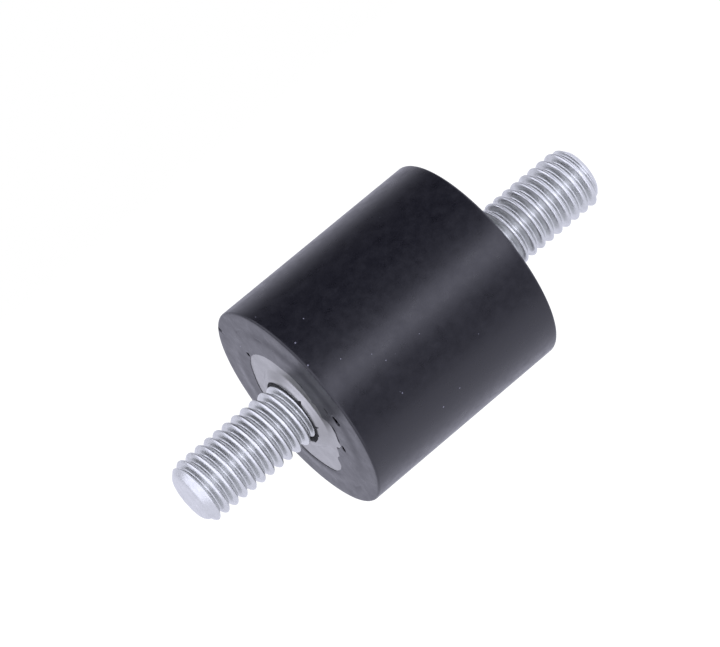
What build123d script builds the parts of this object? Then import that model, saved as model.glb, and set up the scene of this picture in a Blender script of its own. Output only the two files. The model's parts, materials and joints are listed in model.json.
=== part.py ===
from build123d import *
import math
import os

# Bobbin vibration mount: a rubber cylinder moulded round two steel end plates, with a headed M6 stud
# through each plate. Millimetres. The axis of the mount is X, +Z is up, and the origin is the middle
# of the rubber. "Reach" is a distance from the origin along the axis.

# Driving dimensions

# rubber moulding
body_diameter = 20.0
body_length = 20.3
rim_break = 0.2             # the two round edges are broken this much
land_height = 0.15          # the middle of each end face stands up this much
land_diameter = 15.0
skin_thickness = 0.2        # rubber over the face of the plate
window_diameter = 11.7      # bare opening in that skin

# end plates
plate_cover = 0.35          # rubber between the plate's edge and the side of the land
plate_thickness = 1.5
plate_edge_chamfer = 0.2
collar_base_diameter = 8.6  # the coined collar round the hole
collar_top_diameter = 7.4
collar_height = 0.4

# studs
thread_diameter = 5.85      # M6, over the rolled crests
neck_diameter = 5.3         # plain shank through the plate, left as drawn before the thread was rolled
stud_projection = 12.2      # from the face of the plate to the tip
tip_diameter = 4.3
tip_chamfer_angle = 45.0    # degrees from the axis
head_diameter = 11.0
head_thickness = 2.0
head_chamfer = 0.3

# clearances
hole_clearance = 0.175      # between the stud and the hole in the plate, all round

# Worked out from them

end_reach = body_length / 2
land_reach = end_reach + land_height
plate_face_reach = land_reach - skin_thickness
plate_back_reach = plate_face_reach - plate_thickness
collar_reach = plate_face_reach + collar_height
head_reach = plate_back_reach - head_thickness
tip_reach = plate_face_reach + stud_projection

body_radius = body_diameter / 2
land_radius = land_diameter / 2
window_radius = window_diameter / 2
plate_radius = land_radius - plate_cover
thread_radius = thread_diameter / 2
hole_radius = thread_radius + hole_clearance


def turned(*section):
    """A body of revolution about X, from the corners (reach, radius) of its half section."""
    return revolve(make_face(Polyline(*section, close=True)), Axis.X)


def at_left(right_piece):
    """The same piece turned round to the other end, so that a thread keeps its hand."""
    return Rot(0, 0, 180) * right_piece


def end_plate():
    """The steel disc of the right end, with the coined collar round its hole."""
    base_radius, top_radius = collar_base_diameter / 2, collar_top_diameter / 2
    return turned(
        (plate_back_reach, hole_radius),
        (plate_back_reach, plate_radius - plate_edge_chamfer),
        (plate_back_reach + plate_edge_chamfer, plate_radius),
        (plate_face_reach - plate_edge_chamfer, plate_radius),
        (plate_face_reach, plate_radius - plate_edge_chamfer),
        (plate_face_reach, base_radius),
        (collar_reach, top_radius),
        (collar_reach, hole_radius),
    )


def stud():
    """The stud of the right end: flat head behind the plate, neck, threaded shank and chamfered tip."""
    head_radius, neck_radius, tip_radius = head_diameter / 2, neck_diameter / 2, tip_diameter / 2
    runout_length = thread_radius - neck_radius     # the thread runs out at 45 degrees
    chamfer_length = (thread_radius - tip_radius) / math.tan(math.radians(tip_chamfer_angle))
    return turned(
        (head_reach, 0),
        (head_reach, head_radius - head_chamfer),
        (head_reach + head_chamfer, head_radius),
        (plate_back_reach, head_radius),
        (plate_back_reach, neck_radius),
        (collar_reach, neck_radius),
        (collar_reach + runout_length, thread_radius),
        (tip_reach - chamfer_length, thread_radius),
        (tip_reach, tip_radius),
        (tip_reach, 0),
    )


def moulding(inserts):
    """The rubber, with a raised land on each end, cast round the inserts and open over the plates."""
    barrel = turned(
        (-end_reach, 0), (-end_reach, body_radius), (end_reach, body_radius), (end_reach, 0)
    )
    barrel = chamfer(barrel.edges().filter_by(GeomType.CIRCLE), rim_break)
    land = turned((0, 0), (0, land_radius), (land_reach, land_radius), (land_reach, 0))
    # the window down to the plate's face, and the clear hole round the stud down to its head
    opening = turned(
        (plate_back_reach, 0),
        (plate_back_reach, hole_radius),
        (plate_face_reach, hole_radius),
        (plate_face_reach, window_radius),
        (collar_reach, window_radius),
        (collar_reach, 0),
    )
    rubber = barrel + land + at_left(land)
    return rubber - [opening, at_left(opening)] - inserts


right_plate = end_plate()
right_stud = stud()
left_plate = at_left(right_plate)
left_stud = at_left(right_stud)
rubber_body = moulding([left_plate, right_plate, left_stud, right_stud])

nodes = {
    "rubber_body": rubber_body,
    "left_plate": left_plate,
    "right_plate": right_plate,
    "left_stud": left_stud,
    "right_stud": right_stud,
}

os.makedirs("parts", exist_ok=True)
for name, shape in nodes.items():
    export_step(shape, f"parts/{name}.step")
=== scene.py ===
"""Bobbin vibration mount: the looks of the rubber, its bonded plates and its threaded studs."""

import json
import logging
import math
from dataclasses import dataclass, field
from enum import Enum

import bpy
import numpy as np
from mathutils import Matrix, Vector


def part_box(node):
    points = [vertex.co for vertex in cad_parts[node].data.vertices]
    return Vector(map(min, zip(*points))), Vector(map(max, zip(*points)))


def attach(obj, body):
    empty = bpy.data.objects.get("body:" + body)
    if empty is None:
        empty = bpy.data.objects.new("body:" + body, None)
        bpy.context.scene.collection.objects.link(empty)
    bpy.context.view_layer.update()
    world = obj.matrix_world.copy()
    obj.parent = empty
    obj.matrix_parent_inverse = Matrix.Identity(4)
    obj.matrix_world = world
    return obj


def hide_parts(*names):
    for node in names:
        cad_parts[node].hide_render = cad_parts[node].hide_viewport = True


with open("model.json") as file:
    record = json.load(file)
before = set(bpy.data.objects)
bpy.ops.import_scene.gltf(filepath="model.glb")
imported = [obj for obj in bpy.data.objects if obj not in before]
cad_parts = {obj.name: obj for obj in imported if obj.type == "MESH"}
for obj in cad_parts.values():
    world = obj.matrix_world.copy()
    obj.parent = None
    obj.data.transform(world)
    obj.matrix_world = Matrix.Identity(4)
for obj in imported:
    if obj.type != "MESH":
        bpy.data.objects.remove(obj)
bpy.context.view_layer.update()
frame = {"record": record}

LOG = logging.getLogger("mount")

MM = 0.001                  # the sizes below are in millimetres, and Blender's are in metres
TURN = 2 * math.pi
CORNER_STEPS = 5            # rows round a broken corner
TOUCH = 0.01                # planes closer than this, in mm, count as one
NOISE_RANGE = (0.3, 0.7)    # the values that a noise texture mostly keeps to
TAB_POWER = 3               # how squarely a tab's bell stands
PIT_SLANT = 0.3             # how far a pit's line drifts across, as a share of its width
PIT_POWER = 0.7             # below 1, a pit has steep sides and a flat bottom


class End(Enum):
    """The two ends of the mount, by the sign of their side of the X axis."""

    LEFT = -1
    RIGHT = 1


# Surfaces


@dataclass(frozen=True)
class Corner:
    """A corner of a half section.

    Args:
        reach: distance from the middle of the mount along X, in mm.
        radius: distance from the X axis, in mm.
        rounding: how far from the corner its round starts, in mm.
        step: the widest row spacing on the run that leads to the corner, in mm.
    """

    reach: float
    radius: float
    rounding: float = 0.0
    step: float = 5.0

    def mirrored(self) -> "Corner":
        """The same corner at the other end."""
        return Corner(-self.reach, self.radius, self.rounding, self.step)


def section(corners: list[Corner]) -> np.ndarray:
    """Rows along a half section: straight runs, joined at each rounded corner by a quadratic curve
    that leaves one run and meets the next at the corner's rounding.

    Args:
        corners: the corners in order.

    Returns:
        An array of (reach, radius) rows in mm.
    """
    at = np.array([(c.reach, c.radius) for c in corners])
    rows, last = [at[:1]], at[0]
    for index in range(1, len(corners)):
        corner, here = corners[index], at[index]
        bend = here[None]
        if corner.rounding and index + 1 < len(corners):
            back, on = last - here, at[index + 1] - here
            start = here + back / np.linalg.norm(back) * corner.rounding
            end = here + on / np.linalg.norm(on) * corner.rounding
            t = np.linspace(0, 1, CORNER_STEPS + 1)[:, None]
            bend = (1 - t) ** 2 * start + 2 * t * (1 - t) * here + t**2 * end
        count = max(1, math.ceil(np.linalg.norm(bend[0] - last) / corner.step))
        rows += [np.linspace(last, bend[0], count + 1)[1:], bend[1:]]
        last = bend[-1]
    return np.concatenate(rows)


def grid_object(
    name: str, points: np.ndarray, ring: bool = False, torn: np.ndarray | None = None
) -> bpy.types.Object:
    """A closed mesh over a grid that runs right round the X axis.

    The columns always close on themselves. The rows close on themselves in a ring, and otherwise the
    first and last row lie on the axis and become one point each, with triangles round it. The order of
    the corners is turned over where the volume under the faces comes out negative.

    Args:
        name: the piece's name.
        points: rows x columns x 3 places in mm.
        ring: whether the last row joins the first.
        torn: rows x columns of how torn the skin is, from 0 to 1, for the finish to read: it makes a pit matte
            and paints shade into its hollow.

    Returns:
        The smooth-shaded object at the origin.
    """
    rows, columns = points.shape[:2]
    index = np.arange(rows * columns).reshape(rows, columns)
    if ring:
        index = np.vstack([index, index[:1]])
    else:
        index[0], index[-1] = index[0, 0], index[-1, 0]
    index = np.hstack([index, index[:, :1]])
    quads = np.stack([index[:-1, :-1], index[1:, :-1], index[1:, 1:], index[:-1, 1:]], -1).reshape(-1, 4)
    used, place = np.unique(quads, return_inverse=True)
    quads = place.reshape(-1, 4)
    spots = points.reshape(-1, 3)[used] * MM
    a, b, c, d = (spots[quads[:, k]] for k in range(4))
    volume = np.einsum("ij,ij->", a, np.cross(b, c)) + np.einsum("ij,ij->", a, np.cross(c, d))
    if volume < 0:
        quads = quads[:, ::-1]
    at_pole = [(quads[:, k] == quads[:, k - 1]) for k in range(4)]
    faces = quads[~np.any(at_pole, axis=0)].tolist()
    for k, touching in enumerate(at_pole):
        faces += np.delete(quads[touching], k, axis=1).tolist()
    mesh = bpy.data.meshes.new(name)
    mesh.from_pydata(spots.tolist(), [], faces)
    mesh.shade_smooth()
    if torn is not None:
        layer = mesh.attributes.new("torn", "FLOAT", "POINT")
        layer.data.foreach_set("value", torn.reshape(-1)[used].astype(np.float32))
    piece = bpy.data.objects.new(name, mesh)
    bpy.context.scene.collection.objects.link(piece)
    return piece


def around(reach: np.ndarray, radius: np.ndarray, angle: np.ndarray) -> np.ndarray:
    """Places on the grid: reach along X, and the radius turned by the angle from +Y towards +Z.

    Args:
        reach: distances along X.
        radius: distances from the axis.
        angle: turns round the axis, in radians.

    Returns:
        An array with the three coordinates last.
    """
    return np.stack(np.broadcast_arrays(reach, radius * np.cos(angle), radius * np.sin(angle)), -1)


def ripple(angle: np.ndarray, waves: range, seed: int) -> np.ndarray:
    """A seamless uneven line round the axis: one sine for each number of waves, each with its own
    seeded start and a height that falls as the waves get shorter.

    Args:
        angle: turns round the axis, in radians.
        waves: how many waves each sine has in a turn.
        seed: which line.

    Returns:
        Heights of about 1 at most.
    """
    rng = np.random.default_rng(seed)
    starts = rng.uniform(0, TURN, len(waves))
    height = np.array([waves[0] / wave for wave in waves]) ** 0.5
    sines = [h * np.sin(wave * angle + start) for wave, start, h in zip(waves, starts, height)]
    return np.sum(sines, axis=0) / height.sum()


def soft_least(a: np.ndarray, b: np.ndarray, blend: float) -> np.ndarray:
    """The lesser of two heights, with the crossing rounded over the blend width."""
    near = np.clip(blend - np.abs(a - b), 0, None) / blend
    return np.minimum(a, b) - near**2 * blend / 4


def wrapped(angle: np.ndarray, middle: float) -> np.ndarray:
    """The angle measured from the middle, between minus and plus half a turn."""
    return (angle - middle + math.pi) % TURN - math.pi


# Finishes


def linear(code: str) -> tuple[float, float, float, float]:
    """Turn an sRGB hex code into linear colour, by the power curve that sRGB states.

    Args:
        code: six hex digits with a leading hash.

    Returns:
        Red, green, blue and an alpha of 1.
    """
    share = [int(code[k : k + 2], 16) / 255 for k in (1, 3, 5)]
    red, green, blue = [s / 12.92 if s <= 0.04045 else ((s + 0.055) / 1.055) ** 2.4 for s in share]
    return red, green, blue, 1.0


def add_node(
    material: bpy.types.Material | bpy.types.World, kind: str, inputs: dict, **settings: str
) -> bpy.types.Node:
    """Add a node with its settings and links.

    Args:
        material: the material, or the world, that owns the node tree.
        kind: the node's type.
        inputs: socket name or number to a value, or to the output socket that feeds it.
        settings: the node's own properties.

    Returns:
        The node.
    """
    tree = material.node_tree
    node = tree.nodes.new(kind)
    for key, value in settings.items():
        setattr(node, key, value)
    for key, value in inputs.items():
        if isinstance(value, bpy.types.NodeSocket):
            tree.links.new(value, node.inputs[key])
        else:
            node.inputs[key].default_value = value
    return node


def new_material(name: str) -> bpy.types.Material:
    """Make an empty node material.

    Args:
        name: the finish's name.

    Returns:
        The material.
    """
    material = bpy.data.materials.new(name)
    material.use_nodes = True
    material.node_tree.nodes.clear()
    return material


def in_millimetres(material: bpy.types.Material) -> bpy.types.NodeSocket:
    """Read the piece's own coordinates, in mm.

    Args:
        material: the material that owns the node tree.

    Returns:
        The socket that gives them.
    """
    place = add_node(material, "ShaderNodeTexCoord", {})
    scaled = add_node(
        material, "ShaderNodeVectorMath", {0: place.outputs["Object"], "Scale": 1 / MM}, operation="SCALE"
    )
    return scaled.outputs[0]


def noise(
    material: bpy.types.Material, place: bpy.types.NodeSocket, size_mm: float, detail: float, roughness: float
) -> bpy.types.NodeSocket:
    """Add a noise texture.

    Args:
        material: the material that owns the node tree.
        place: where the noise is read, in mm.
        size_mm: the size of its largest blots.
        detail: how many finer layers it has.
        roughness: how strong the finer layers are.

    Returns:
        The noise, from 0 to 1.
    """
    inputs = {"Vector": place, "Scale": 1 / size_mm, "Detail": detail, "Roughness": roughness}
    return add_node(material, "ShaderNodeTexNoise", inputs).outputs["Fac"]


def remapped(
    material: bpy.types.Material | bpy.types.World, value: bpy.types.NodeSocket,
    span: tuple[float, float], low: float, high: float, **settings: str,
) -> bpy.types.NodeSocket:
    """Carry a value from its span to the range from low to high, and hold it there.

    Args:
        material: the material, or the world, that owns the node tree.
        value: what is carried over.
        span: the values that give low and high.
        low: the result at the span's start.
        high: the result at its end.
        settings: the node's own properties.

    Returns:
        The result.
    """
    inputs = {"Value": value, "From Min": span[0], "From Max": span[1], "To Min": low, "To Max": high}
    return add_node(material, "ShaderNodeMapRange", inputs, **settings).outputs[0]


def mixed(
    material: bpy.types.Material | bpy.types.World, factor: bpy.types.NodeSocket | float,
    first: bpy.types.NodeSocket | tuple, second: bpy.types.NodeSocket | tuple, **settings: str,
) -> bpy.types.NodeSocket:
    """Mix two colours.

    Args:
        material: the material, or the world, that owns the node tree.
        factor: 0 for the first colour, 1 for the second.
        first: a colour, or the socket that gives it.
        second: the other colour.
        settings: the node's own properties.

    Returns:
        The mixed colour.
    """
    inputs = {"Factor": factor, "A": first, "B": second}
    return add_node(material, "ShaderNodeMix", inputs, data_type="RGBA", **settings).outputs["Result"]


@dataclass(frozen=True)
class MouldedRubber:
    """Moulded natural rubber, filled with carbon black. It gives a near-black skin with a soft sheen,
    mottled where the mould's surface printed through, with specks of pale dust."""

    name: str = "moulded_natural_rubber"
    black: str = "#0b0b11"
    bloom: str = "#13131a"      # the faint grey of wax that comes to the surface
    dust: str = "#70707a"
    # painted shade: the near-black that the bottoms of pits are darkened towards
    pit_shade: str = "#020203"
    sheen_low: float = 0.26
    sheen_high: float = 0.38
    mottle_mm: float = 0.9
    grain_mm: float = 0.11
    speck_gap_mm: float = 1.15
    speck_size: float = 0.075   # the largest speck's radius, as a share of the gap
    speck_span: tuple[float, float] = (0.4, 0.85)   # the random values from no speck to the largest
    gloss: float = 0.5

    def build(self) -> bpy.types.Material:
        """Make the material: mottled roughness, two sizes of bump, scattered specks, and painted shade in torn
        pits.

        Returns:
            The material.
        """
        made = new_material(self.name)
        place = in_millimetres(made)
        mottle = noise(made, place, self.mottle_mm, 5.0, 0.62)
        grain = noise(made, place, self.grain_mm, 2.0, 0.5)
        sheen = remapped(made, mottle, NOISE_RANGE, self.sheen_low, self.sheen_high)
        cells = add_node(
            made, "ShaderNodeTexVoronoi", {"Vector": place, "Scale": 1 / self.speck_gap_mm, "Randomness": 1.0}
        )
        size = remapped(made, cells.outputs["Color"], self.speck_span, 0.0, self.speck_size)
        speck = add_node(
            made, "ShaderNodeMath", {0: cells.outputs["Distance"], 1: size}, operation="LESS_THAN"
        ).outputs[0]
        skin = mixed(made, mottle, linear(self.black), linear(self.bloom))
        dusty = mixed(made, speck, skin, linear(self.dust))
        relief = add_node(
            made, "ShaderNodeBump", {"Height": mottle, "Strength": 0.25, "Distance": 0.02 * MM}
        )
        relief = add_node(
            made, "ShaderNodeBump",
            {"Height": grain, "Strength": 0.2, "Distance": 0.004 * MM, "Normal": relief.outputs[0]},
        )
        # The torn share from the mesh makes a pit matte and glossless, which is real, and darkens its colour
        # towards the pit colour above, which is painted shade in the hollow.
        torn = add_node(made, "ShaderNodeAttribute", {}, attribute_name="torn").outputs["Fac"]
        pit_shaded = mixed(made, torn, dusty, linear(self.pit_shade))
        rough = add_node(made, "ShaderNodeMath", {0: sheen, 1: torn}, operation="MAXIMUM").outputs[0]
        gloss = remapped(made, torn, (0.0, 1.0), self.gloss, 0.0)
        shader = add_node(
            made, "ShaderNodeBsdfPrincipled",
            {"Base Color": pit_shaded, "Roughness": rough, "IOR": 1.52,
             "Specular IOR Level": gloss, "Normal": relief.outputs[0]},
        )
        add_node(made, "ShaderNodeOutputMaterial", {"Surface": shader.outputs[0]})
        return made


@dataclass(frozen=True)
class PressedSteel:
    """Pressed steel plate, degreased before bonding. It gives a satin grey with faint rings left by
    turning, a little patchy where rubber was rubbed off."""

    name: str = "pressed_steel_satin"
    steel: str = "#acaca9"
    patch: str = "#9c9c9a"
    rough_low: float = 0.30
    rough_high: float = 0.42
    ring_mm: float = 0.16
    patch_mm: float = 1.3

    def build(self) -> bpy.types.Material:
        """Make the material: rings about the X axis in the bump, patches in colour and roughness.

        Returns:
            The material.
        """
        made = new_material(self.name)
        place = in_millimetres(made)
        rings = add_node(
            made, "ShaderNodeTexWave",
            {"Vector": place, "Scale": 1 / self.ring_mm / TURN, "Distortion": 0.6, "Detail": 2.0,
             "Detail Scale": 1.5},
            wave_type="RINGS", rings_direction="X",
        ).outputs["Fac"]
        patches = noise(made, place, self.patch_mm, 4.0, 0.6)
        rough = remapped(made, patches, NOISE_RANGE, self.rough_low, self.rough_high)
        colour = mixed(made, patches, linear(self.steel), linear(self.patch))
        relief = add_node(made, "ShaderNodeBump", {"Height": rings, "Strength": 0.4, "Distance": 0.012 * MM})
        shader = add_node(
            made, "ShaderNodeBsdfPrincipled",
            {"Base Color": colour, "Metallic": 1.0, "Roughness": rough, "Normal": relief.outputs[0]},
        )
        add_node(made, "ShaderNodeOutputMaterial", {"Surface": shader.outputs[0]})
        return made


@dataclass(frozen=True)
class ZincPlatedSteel:
    """Zinc-plated rolled steel. It gives a pale metal with clouds in its colour and polish, and with
    the fine grain of the plating."""

    name: str = "zinc_plated_rolled_steel"
    zinc: str = "#dadcda"
    dull: str = "#c0c2c0"
    rough_low: float = 0.25
    rough_high: float = 0.42
    grain_mm: float = 0.16
    cloud_mm: float = 0.7

    def build(self) -> bpy.types.Material:
        """Make the material: clouds in colour and roughness, and the plating's grain in the bump.

        Returns:
            The material.
        """
        made = new_material(self.name)
        place = in_millimetres(made)
        clouds = noise(made, place, self.cloud_mm, 6.0, 0.65)
        grain = noise(made, place, self.grain_mm, 3.0, 0.55)
        rough = remapped(made, clouds, NOISE_RANGE, self.rough_low, self.rough_high)
        colour = mixed(made, clouds, linear(self.zinc), linear(self.dull))
        relief = add_node(made, "ShaderNodeBump", {"Height": grain, "Strength": 0.6, "Distance": 0.03 * MM})
        shader = add_node(
            made, "ShaderNodeBsdfPrincipled",
            {"Base Color": colour, "Metallic": 1.0, "Roughness": rough, "Normal": relief.outputs[0]},
        )
        add_node(made, "ShaderNodeOutputMaterial", {"Surface": shader.outputs[0]})
        return made


@dataclass(frozen=True)
class LitAcrylic:
    """Opal acrylic lit from below, as a light table's top is. It gives an even white with no shadow to
    the eye, and in reflections it dims with distance on the far side, where the table ends."""

    name: str = "opal_acrylic"
    white: str = "#ffffff"
    glow: str = "#ececff"
    near_mm: float = 12.0       # the far side is as bright as the near one up to here
    far_mm: float = 130.0
    near_share: float = 1.12
    far_share: float = 0.2

    def build(self) -> bpy.types.Material:
        """Make the material: a plain glow for the eye, and one that fades along +Y for reflections.

        Returns:
            The material.
        """
        made = new_material(self.name)
        parts = add_node(made, "ShaderNodeSeparateXYZ", {0: in_millimetres(made)})
        fade = remapped(
            made, parts.outputs["Y"], (self.near_mm, self.far_mm), self.near_share, self.far_share
        )
        seen = add_node(made, "ShaderNodeLightPath", {}).outputs["Is Camera Ray"]
        bright = add_node(made, "ShaderNodeMath", {0: fade, 1: seen}, operation="MAXIMUM").outputs[0]
        colour = mixed(made, seen, linear(self.glow), linear(self.white))
        lit = add_node(made, "ShaderNodeEmission", {"Color": colour, "Strength": bright})
        add_node(made, "ShaderNodeOutputMaterial", {"Surface": lit.outputs[0]})
        return made


# The mount's pieces


@dataclass(frozen=True)
class Layout:
    """The sizes that the pieces share, in mm. Those without a value are read from the frame."""

    body_radius: float
    land_reach: float
    collar_reach: float
    plate_back: float
    plate_radius: float
    head_reach: float
    head_radius: float
    tip_reach: float
    thread_radius: float
    land_height: float = 0.12   # how far the land stands over the rubber's rim
    skin: float = 0.08          # the rubber over the plate
    collar_lift: float = 0.25   # how far the coined collar swells past its CAD height
    collar_base: float = 4.1    # radius where the collar leaves the plate's face
    collar_top: float = 3.5     # radius where it is at its full height
    hole_gap: float = 0.175
    plate_chamfer: float = 0.2
    head_chamfer: float = 0.3

    @classmethod
    def from_frame(cls) -> "Layout":
        """Read the sizes from the nodes' boxes and the studs' mounts.

        Returns:
            The layout.
        """
        rubber, plate, stud = (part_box(node)[1] / MM for node in ("rubber_body", "right_plate", "right_stud"))
        plate_low, stud_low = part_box("right_plate")[0] / MM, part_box("right_stud")[0] / MM
        pins = [m for m in frame["record"]["mounts"] if m["kind"] == "pin"]
        return cls(
            body_radius=rubber.z, land_reach=rubber.x, collar_reach=plate.x, plate_back=plate_low.x,
            plate_radius=plate.z, head_reach=stud_low.x, head_radius=stud.z, tip_reach=stud.x,
            thread_radius=pins[0]["dims"]["r_mm"],
        )

    @property
    def end_reach(self) -> float:
        """The plane of the rubber's rim."""
        return self.land_reach - self.land_height

    @property
    def plate_face(self) -> float:
        """The plane of the bare plate."""
        return self.land_reach - self.skin

    @property
    def collar_height(self) -> float:
        """The plane of the collar's top."""
        return self.collar_reach + self.collar_lift

    @property
    def hole_radius(self) -> float:
        """The radius of the hole in the plate."""
        return self.thread_radius + self.hole_gap


@dataclass(frozen=True)
class Tab:
    """A place where the edge of the flash leaves its circle.

    Args:
        angle: degrees from +Y towards +Z.
        width: degrees to either side.
        depth: mm outwards, or inwards where it is negative.
    """

    angle: float
    width: float
    depth: float

    def shape(self, angle: np.ndarray) -> np.ndarray:
        """The tab's height: a bell of the stated width round its middle."""
        off = wrapped(angle, math.radians(self.angle)) / math.radians(self.width)
        return self.depth * np.exp(-np.abs(off) ** TAB_POWER)


@dataclass(frozen=True)
class Pit:
    """A small hollow in the end of the rubber, such as a tear or a nick.

    Args:
        angle: degrees from +Y towards +Z.
        radius: mm from the axis.
        spread: half its length round the axis, in degrees.
        width: half its width across, in mm.
        depth: mm inwards.
    """

    angle: float
    radius: float
    spread: float
    width: float
    depth: float

    def shape(self, radius: np.ndarray, angle: np.ndarray) -> np.ndarray:
        """The pit's depth at each place: a round-bottomed trough that ends in points.

        Args:
            radius: distances from the axis, in mm.
            angle: turns round the axis, in radians.

        Returns:
            Depths in mm.
        """
        along = wrapped(angle, math.radians(self.angle)) / math.radians(self.spread)
        across = (radius - self.radius - PIT_SLANT * self.width * along) / self.width
        return self.depth * np.clip(1 - along**2 - across**2, 0, None) ** PIT_POWER


@dataclass
class RubberBody:
    """The moulding: barrel, broken rims, a raised land on each end, and a ragged window in the skin
    over each plate. Inside it has the pockets that hold the plates and the studs' heads."""

    layout: Layout
    columns: int = 600
    rim_break: float = 0.22
    land_radius: float = 7.3
    land_slope: float = 0.9     # how far outside the land its slope starts
    land_round: float = 0.35
    feather: float = 0.04       # how much the skin thins towards the window
    feather_round: float = 0.03
    window_radius: float = 5.6
    ragged: float = 0.04
    torn_shade_depth: float = 0.15    # a pit this deep is wholly matte and has the full painted shade
    skin_share: float = 0.4     # the most that a pit takes of the skin over the plate
    plate_cover: float = 0.1    # how far past the plate's rim that holds
    # the window's edge: degrees from +Y towards +Z, and the distance from the axis in mm
    window: dict[End, list[tuple[float, float]]] = field(default_factory=lambda: {
        End.LEFT: [
            (11, 5.8), (23, 5.75), (43, 5.6), (59, 5.45), (71, 5.3), (83, 5.4), (93, 5.35),
            (101, 5.2), (110, 5.0), (112.5, 4.95), (114, 4.7), (118, 5.05), (127, 4.8), (134, 4.5),
            (137, 5.05), (141, 5.4), (149, 5.45), (161, 5.35), (165, 5.5), (167.5, 5.6), (171, 5.4),
            (175, 5.3), (179, 4.9), (182, 5.0), (186, 5.15), (192, 5.35), (198, 5.3), (202, 5.45),
            (207, 6.1), (215, 6.5), (226, 6.85), (248, 6.85), (259, 6.9), (269, 6.75), (295, 6.2),
            (319, 5.8), (341, 5.65), (354, 5.7),
        ],
        End.RIGHT: [
            (10, 5.9), (38, 5.6), (70, 5.9), (76, 5.5), (84, 5.85), (120, 6.2), (150, 5.8), (184, 5.6),
            (190, 5.3), (196, 5.7), (240, 6.1), (275, 5.7), (298, 6.0), (304, 6.3), (309, 5.7), (340, 5.5),
        ],
    })
    pits: dict[End, list[Pit]] = field(default_factory=lambda: {
        End.LEFT: [
            Pit(132, 7.35, 4, 0.2, 0.45), Pit(124, 6.7, 3, 0.12, 0.2), Pit(145, 5.66, 7, 0.1, 0.25),
            Pit(157, 5.55, 6, 0.1, 0.25), Pit(167, 5.95, 3.5, 0.22, 0.25), Pit(13, 6.1, 2.2, 0.2, 0.3),
            Pit(28, 8.1, 7, 0.1, 0.05), Pit(52, 7.6, 6, 0.08, 0.05), Pit(2, 9.95, 1.5, 0.35, 0.2),
            Pit(205, 8.4, 9, 0.1, 0.04), Pit(96, 5.6, 4, 0.12, 0.08),
        ],
        End.RIGHT: [Pit(60, 7.2, 5, 0.12, 0.2), Pit(250, 6.8, 4, 0.15, 0.2), Pit(170, 8.2, 7, 0.1, 0.05)],
    })

    def half_section(self) -> list[Corner]:
        """The corners of the right half, from the rim in to the axis.

        Returns:
            The corners.
        """
        at, bevel, head_bevel = self.layout, self.layout.plate_chamfer, self.layout.head_chamfer
        return [
            Corner(at.end_reach, at.body_radius, self.rim_break, step=0.5),
            Corner(at.end_reach, self.land_radius + self.land_slope, self.land_round, step=0.12),
            Corner(at.land_reach, self.land_radius, self.land_round, step=0.12),
            Corner(at.land_reach - self.feather, self.window_radius, self.feather_round, step=0.1),
            Corner(at.plate_face, self.window_radius),
            Corner(at.plate_face, at.plate_radius - bevel, step=0.4),
            Corner(at.plate_face - bevel, at.plate_radius),
            Corner(at.plate_back + bevel, at.plate_radius),
            Corner(at.plate_back, at.plate_radius - bevel),
            Corner(at.plate_back, at.head_radius),
            Corner(at.head_reach + head_bevel, at.head_radius),
            Corner(at.head_reach, at.head_radius - head_bevel),
            Corner(at.head_reach, 0.0),
        ]

    def window_edge(self, end: End, angle: np.ndarray) -> np.ndarray:
        """How far the window's edge lies outside its circle: straight runs between the stated points,
        and a fine uneven line.

        Args:
            end: which end.
            angle: turns round the axis, in radians.

        Returns:
            Distances in mm.
        """
        turns, radii = np.array(self.window[end]).T
        edge = np.interp(np.degrees(angle), turns, radii, period=360) - self.window_radius
        return edge + self.ragged * ripple(angle, range(24, 110, 5), 7 * end.value + 40)

    def build(self) -> bpy.types.Object:
        """Carry the section round the axis. Rows of the skin shift with the window's edge, by a share
        that falls in a straight line from the window to the plate's rim, and the pits are pressed in.
        Over the plate a pit stops short of the skin's thickness, and the finish paints shade into its bottom.

        Returns:
            The piece.
        """
        at = self.layout
        half = self.half_section()
        rows = section([c.mirrored() for c in reversed(half)] + half)
        angle = np.linspace(0, TURN, self.columns, endpoint=False)
        reach, radius = rows[:, :1] + 0 * angle, rows[:, 1:] + 0 * angle
        skin = np.clip((at.plate_radius - radius) / (at.plate_radius - self.window_radius), 0, 1)
        torn = np.zeros_like(radius)
        for end in End:
            outward = reach * end.value
            over_plate = outward > at.plate_face - TOUCH
            radius = np.where(over_plate, radius + skin * self.window_edge(end, angle), radius)
            outside = outward > at.plate_face + TOUCH
            outside |= (outward > at.end_reach - TOUCH) & (radius > at.plate_radius)
            depth = np.where(outside, sum(pit.shape(radius, angle) for pit in self.pits[end]), 0)
            # The finish reads the full depth here, also where the pit is capped over the plate, so the painted
            # shade stands for a deeper hollow than the mesh has.
            torn = np.maximum(torn, np.clip(depth / self.torn_shade_depth, 0, 1))
            floor = np.where(radius < at.plate_radius + self.plate_cover, self.skin_share * at.skin, np.inf)
            reach = reach - end.value * np.minimum(depth, floor)
        return grid_object("rubber_moulding", around(reach, radius, angle), torn=torn)


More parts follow.
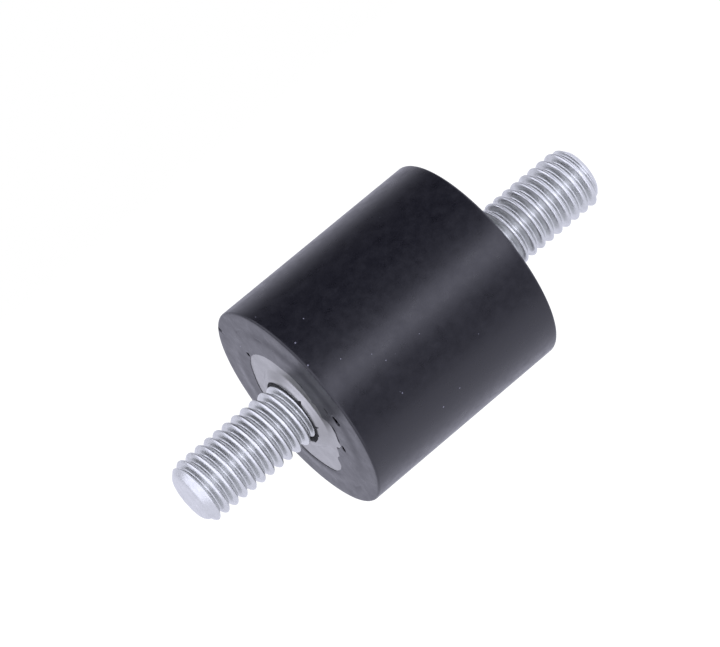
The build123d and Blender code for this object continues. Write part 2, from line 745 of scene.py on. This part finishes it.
@dataclass
class EndPlate:
    """A steel disc with a hole and a coined collar that swells up round it."""

    layout: Layout
    end: End
    columns: int = 256
    slope_round: float = 0.12
    hole_round: float = 0.1

    def build(self) -> bpy.types.Object:
        """Carry the plate's section round the axis as a ring.

        Returns:
            The piece.
        """
        at, bevel, side = self.layout, self.layout.plate_chamfer, self.end.value
        corners = [
            Corner(at.plate_back, at.hole_radius),
            Corner(at.plate_back, at.plate_radius - bevel),
            Corner(at.plate_back + bevel, at.plate_radius),
            Corner(at.plate_face - bevel, at.plate_radius),
            Corner(at.plate_face, at.plate_radius - bevel),
            Corner(at.plate_face, at.collar_base, self.slope_round, step=0.15),
            Corner(at.collar_height, at.collar_top, self.slope_round, step=0.1),
            Corner(at.collar_height, at.hole_radius, self.hole_round, step=0.1),
            Corner(at.plate_back, at.hole_radius, step=0.3),
        ]
        rows = section(corners)[:-1]
        angle = np.linspace(0, TURN, self.columns, endpoint=False)
        points = around(side * rows[:, :1], rows[:, 1:], angle)
        return grid_object(f"{self.end.name.lower()}_plate_pressed", points, ring=True)


@dataclass
class ThreadedStud:
    """A headed stud with a rolled M6 thread, a plain neck through the plate and a chamfered tip."""

    layout: Layout
    end: End
    columns: int = 180
    row_step: float = 0.04
    pitch: float = 1.0
    thread_start: float = 0.04  # where a crest crosses the +Y side, along X
    neck_radius: float = 2.84
    neck_end: float = 0.6       # how far under the CAD collar's top the shank's close rows start
    runout_slope: float = 0.15  # how fast the thread grows out of the neck, past the collar
    pitch_radius: float = 2.72
    flank: float = 0.866        # height of the sharp V, as a share of the pitch
    root_cut: float = 0.3       # how far the flat root lies under the pitch radius
    crest_round: float = 0.24
    root_round: float = 0.16
    limit_round: float = 0.1    # where the runout meets the tip's chamfer
    fade_round: float = 0.08    # where the thread meets either of them
    tip_radius: float = 2.15
    tip_length: float = 0.25    # how far from the tip the shank's close rows end
    tip_round: float = 0.2
    longer: dict[End, float] = field(default_factory=lambda: {End.LEFT: -0.08, End.RIGHT: 0.2})

    def thread(self, reach: np.ndarray, angle: np.ndarray) -> np.ndarray:
        """The radius of a right-handed thread: a sharp V wave that moves one pitch along X in a turn,
        with its crest and root cut off and rounded.

        Args:
            reach: places along X.
            angle: turns round the axis, in radians.

        Returns:
            The radius at each place.
        """
        turns = (reach - self.thread_start) / self.pitch - angle / TURN
        wave = 1 - 4 * np.abs(turns - np.round(turns))
        height = self.flank * self.pitch / 2 * wave
        crest = self.layout.thread_radius - self.pitch_radius
        height = soft_least(height, np.full_like(height, crest), self.crest_round)
        height = -soft_least(-height, np.full_like(height, self.root_cut), self.root_round)
        return self.pitch_radius + height

    def build(self) -> bpy.types.Object:
        """Carry the section round the axis, and lay the thread over its shank. The thread grows out of
        the neck along a slow runout, and ends in the tip's chamfer, a cone of 45 degrees.

        Returns:
            The piece.
        """
        at, side = self.layout, self.end.value
        tip_reach = at.tip_reach + self.longer[self.end]
        head = section([
            Corner(at.head_reach, 0.0),
            Corner(at.head_reach, at.head_radius - at.head_chamfer),
            Corner(at.head_reach + at.head_chamfer, at.head_radius),
            Corner(at.plate_back, at.head_radius),
            Corner(at.plate_back, self.neck_radius),
            Corner(at.collar_reach - self.neck_end, self.neck_radius),
        ])
        shank = np.arange(at.collar_reach - self.neck_end, tip_reach - self.tip_length, self.row_step)[1:]
        angle = np.linspace(0, TURN, self.columns, endpoint=False)
        past_collar = np.clip(shank - at.collar_reach - at.collar_lift, 0, None)
        runout = self.neck_radius + self.runout_slope * past_collar
        chamfer = self.tip_radius + tip_reach - shank
        limit = soft_least(runout, chamfer, self.limit_round)[:, None]
        threaded = soft_least(self.thread(side * shank[:, None], angle), limit, self.fade_round)
        tip = section([
            Corner(shank[-1], chamfer[-1]),
            Corner(tip_reach, self.tip_radius, self.tip_round, step=0.05),
            Corner(tip_reach, 0.0, step=0.3),
        ])[1:]
        reach = np.concatenate([head[:, 0], shank, tip[:, 0]])[:, None]
        radius = np.concatenate([
            np.repeat(head[:, 1:], self.columns, 1), threaded, np.repeat(tip[:, 1:], self.columns, 1)
        ])
        points = around(side * reach, radius, angle)
        return grid_object(f"{self.end.name.lower()}_stud_threaded", points)


@dataclass
class GapFlash:
    """Rubber that was pressed up between a stud and its plate while the mount was moulded: a thin black
    ring with a torn edge, which laps over the collar where the tabs are."""

    layout: Layout
    end: End
    columns: int = 720
    inner: float = 2.5
    outer: float = 3.06
    ragged: float = 0.1
    depth: float = 0.5          # how far it goes down into the gap, from the CAD collar's top
    proud: float = 0.04         # how far it stands over the collar
    hole_cover: float = 0.02    # how far inside the hole its foot stays
    edge_height: float = 0.12
    edge_lean: float = 0.03
    droop: float = 0.9          # how steeply a tab follows the collar's slope
    brow_back: float = 0.04     # how far inside the edge the bend over the collar is at least
    brow_past: float = 0.03     # how far past the collar's top it is at most
    lip_width: float = 0.45
    lip_height: float = 0.15
    tabs: dict[End, list[Tab]] = field(default_factory=lambda: {
        End.LEFT: [
            Tab(24, 5, 0.12), Tab(58, 6, 0.1), Tab(78, 4, 0.16), Tab(90, 5, 0.12), Tab(98, 4, 0.25),
            Tab(106, 5, 0.6), Tab(115, 3, 0.3), Tab(124, 4, 0.18), Tab(134, 4, 0.12), Tab(143, 3, 0.25),
            Tab(150, 1.6, 0.6), Tab(158, 4, 0.2), Tab(171, 4, 0.3), Tab(186, 3, 0.15), Tab(205, 3, 0.12),
        ],
        End.RIGHT: [Tab(90, 9, 0.2), Tab(140, 6, 0.3), Tab(215, 8, 0.25), Tab(330, 7, 0.3)],
    })

    def build(self) -> bpy.types.Object:
        """Carry a thin section round the axis, with its outer edge moved by the tabs.

        Returns:
            The piece.
        """
        at, side = self.layout, self.end.value
        angle = np.linspace(0, TURN, self.columns, endpoint=False)
        edge = sum(tab.shape(angle) for tab in self.tabs[self.end])
        edge = edge + self.ragged * ripple(angle, range(20, 160, 7), 60 + side)
        bumps = self.proud * ripple(angle, range(15, 120, 6), 80 + side)
        top = at.collar_height + self.proud + bumps
        low = np.full_like(angle, at.collar_reach - self.depth)
        outer = self.outer + edge
        fall = self.droop * np.clip(outer - at.collar_top, 0, None)
        inner = np.full_like(angle, self.inner)
        hole = np.full_like(angle, at.hole_radius - self.hole_cover)
        brow = np.minimum(outer - self.brow_back, at.collar_top + self.brow_past)
        reach = [low, low, top - self.edge_height - fall, top - fall, top, top, top - self.lip_height]
        radius = [inner, hole, outer, outer - self.edge_lean, brow, inner + self.lip_width, inner]
        points = around(side * np.stack(reach), np.stack(radius), angle)
        return grid_object(f"{self.end.name.lower()}_gap_flash", points, ring=True)


# The studio


@dataclass
class Studio:
    """A light table, a strip of light overhead, a room that is dark straight across the mount and
    bright towards its ends, and the camera. Lengths are in mm."""

    layout: Layout
    azimuth: float = -42.81     # degrees, 0 looking along +Y
    elevation: float = 64.32
    distance: float = 350.3
    lens: float = 208.75
    shift: tuple[float, float] = (-0.03775, 0.01345)
    near_clip: float = 10.0
    table_half: float = 3000.0
    strip_angle: float = 113.5  # degrees from +Y towards +Z
    strip_away: float = 600.0
    strip_along: float = 0.30   # how far it hangs towards +X, as a share of that
    strip_radiance: float = 2.6
    strip_length: float = 500.0
    strip_width: float = 210.0
    tint: str = "#ebebff"
    backdrop: str = "#ffffff"
    # radiance of the room against degrees from +Y over the top to -Y, straight across the mount
    bands: tuple[tuple[float, float], ...] = (
        (0, 0.15), (20, 0.06), (55, 0.04), (75, 0.22), (90, 0.4), (130, 0.5), (150, 0.38),
        (165, 0.45), (180, 0.8),
    )
    # the bright walls, by the X part of a direction: their middle, and how far off they start and are full
    side_radiance: float = 1.9
    side_middle: float = 0.295
    side_span: tuple[float, float] = (0.22, 0.42)

    def outward(self) -> Vector:
        """The direction from the mount to the camera."""
        a, e = math.radians(self.azimuth), math.radians(self.elevation)
        return Vector((math.sin(a) * math.cos(e), -math.cos(a) * math.cos(e), math.sin(e)))

    def camera(self) -> None:
        """Place the camera, level, looking at the middle of the mount."""
        data = bpy.data.cameras.new("camera")
        data.lens = self.lens
        data.shift_x, data.shift_y = self.shift
        data.clip_start = self.near_clip * MM
        seen = bpy.data.objects.new("camera", data)
        seen.location = self.outward() * self.distance * MM
        seen.rotation_euler = self.outward().to_track_quat("Z", "Y").to_euler()
        bpy.context.scene.collection.objects.link(seen)
        bpy.context.scene.camera = seen

    def strip(self) -> None:
        """Hang a long soft light over the mount, along X."""
        up = math.radians(self.strip_angle)
        place = Vector((self.strip_along, math.cos(up), math.sin(up))) * self.strip_away
        data = bpy.data.lights.new("strip", "AREA")
        data.shape = "RECTANGLE"
        data.size, data.size_y = self.strip_length * MM, self.strip_width * MM
        data.energy = self.strip_radiance * math.pi * data.size * data.size_y
        data.color = linear(self.tint)[:3]
        lit = bpy.data.objects.new("strip", data)
        lit.location = place * MM
        lit.rotation_euler = place.to_track_quat("Z", "Y").to_euler()
        bpy.context.scene.collection.objects.link(lit)

    def table(self) -> None:
        """Lay the light table under the mount."""
        size, low = self.table_half * MM, -self.layout.body_radius * MM
        mesh = bpy.data.meshes.new("table_top")
        corners = [(-size, -size, low), (size, -size, low), (size, size, low), (-size, size, low)]
        mesh.from_pydata(corners, [], [(0, 1, 2, 3)])
        mesh.materials.append(LitAcrylic().build())
        table = bpy.data.objects.new("table_top", mesh)
        bpy.context.scene.collection.objects.link(table)

    def room(self) -> None:
        """Light the room: bands that run along X, which give way to bright walls towards its ends."""
        world = bpy.data.worlds.new("room")
        world.use_nodes = True
        world.node_tree.nodes.clear()
        way = add_node(world, "ShaderNodeTexCoord", {}).outputs["Generated"]
        parts = add_node(world, "ShaderNodeSeparateXYZ", {0: way}).outputs
        turn = add_node(
            world, "ShaderNodeMath", {0: parts["Z"], 1: parts["Y"]}, operation="ARCTAN2"
        ).outputs[0]
        share = add_node(world, "ShaderNodeMath", {0: turn, 1: math.pi}, operation="DIVIDE").outputs[0]
        ramp = add_node(world, "ShaderNodeValToRGB", {0: share})
        for index, (degrees, radiance) in enumerate(self.bands):
            stops = ramp.color_ramp.elements
            stop = stops[index] if index < 2 else stops.new(degrees / 180)
            stop.position = degrees / 180
            stop.color = (radiance, radiance, radiance, 1)
        off = add_node(
            world, "ShaderNodeMath", {0: parts["X"], 1: self.side_middle}, operation="SUBTRACT"
        ).outputs[0]
        off = add_node(world, "ShaderNodeMath", {0: off}, operation="ABSOLUTE").outputs[0]
        side = remapped(world, off, self.side_span, 0.0, 1.0, interpolation_type="SMOOTHSTEP")
        wall = (self.side_radiance,) * 3 + (1.0,)
        shade = mixed(world, side, ramp.outputs[0], wall)
        tinted = mixed(world, 1.0, shade, linear(self.tint), blend_type="MULTIPLY")
        eye = add_node(world, "ShaderNodeLightPath", {}).outputs["Is Camera Ray"]
        colour = mixed(world, eye, tinted, linear(self.backdrop))
        room = add_node(world, "ShaderNodeBackground", {"Color": colour, "Strength": 1.0})
        add_node(world, "ShaderNodeOutputWorld", {"Surface": room.outputs[0]})
        bpy.context.scene.world = world

    def build(self) -> None:
        """Set up the camera, the table, the strip and the room."""
        self.camera()
        self.table()
        self.strip()
        self.room()
        bpy.context.scene.view_settings.view_transform = "Standard"


def dress(piece: bpy.types.Object, finish: bpy.types.Material, node: str | None) -> None:
    """Give a piece its finish and its body, and let it stand for a CAD node.

    Args:
        piece: the finished piece.
        finish: its material.
        node: the CAD node that it replaces, if any.
    """
    piece.data.materials.append(finish)
    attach(piece, "root")
    if node:
        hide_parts(node)
    LOG.info("%s: %d faces, for %s", piece.name, len(piece.data.polygons), node)


def main() -> None:
    """Build the studio and every piece of the mount, in order."""
    logging.basicConfig(level=logging.INFO, format="%(name)s: %(message)s")
    layout = Layout.from_frame()
    Studio(layout).build()
    rubber, plate, zinc = MouldedRubber().build(), PressedSteel().build(), ZincPlatedSteel().build()
    torn = MouldedRubber("torn_natural_rubber", "#060608", "#0a0a0c", sheen_low=0.7, sheen_high=0.9).build()
    dress(RubberBody(layout).build(), rubber, "rubber_body")
    for end in End:
        side = end.name.lower()
        dress(EndPlate(layout, end).build(), plate, f"{side}_plate")
        dress(ThreadedStud(layout, end).build(), zinc, f"{side}_stud")
        dress(GapFlash(layout, end).build(), torn, None)


if __name__ == "__main__":
    main()
